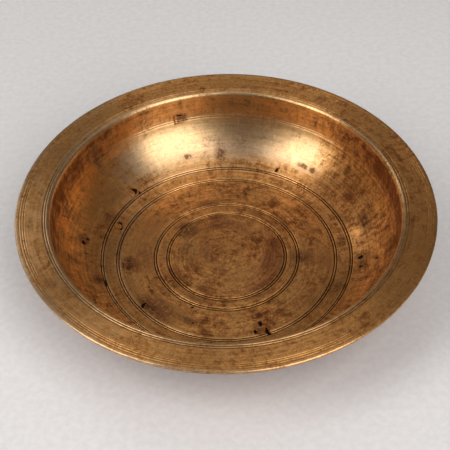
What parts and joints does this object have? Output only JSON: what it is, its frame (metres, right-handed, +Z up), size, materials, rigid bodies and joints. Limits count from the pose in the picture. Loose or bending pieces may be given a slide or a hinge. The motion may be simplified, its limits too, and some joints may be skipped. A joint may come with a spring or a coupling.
{
  "type": "urli bowl",
  "caption": "Shallow round cast brass bowl with a rounded wall, turned lines and a wide flat rim, for floating flowers, serving or display.",
  "frame": {"origin": "centre of the flat underside that the bowl stands on", "axes": "+Z up along the bowl's turning axis; +X to the right and +Y to the back of the bowl, as the chaplets' names say"},
  "size_m": [0.24, 0.24, 0.0476],
  "materials": {
    "aged_brass": "lathe-turned brass with a mottled brown patina, half matt",
    "chaplet_brass": "redder cast brass, worn flush with the bowl, half matt"
  },
  "bodies": {
    "root": {"bowl": "aged_brass", "chaplet_floor_inner": "chaplet_brass", "chaplet_floor_left": "chaplet_brass", "chaplet_floor_front": "chaplet_brass", "chaplet_foot_back_left": "chaplet_brass", "chaplet_foot_left": "chaplet_brass", "chaplet_wall_back_left": "chaplet_brass", "chaplet_wall_right": "chaplet_brass", "chaplet_wall_left": "chaplet_brass", "chaplet_wall_high_left": "chaplet_brass", "chaplet_wall_high_back": "chaplet_brass"}
  },
  "joints": []
}
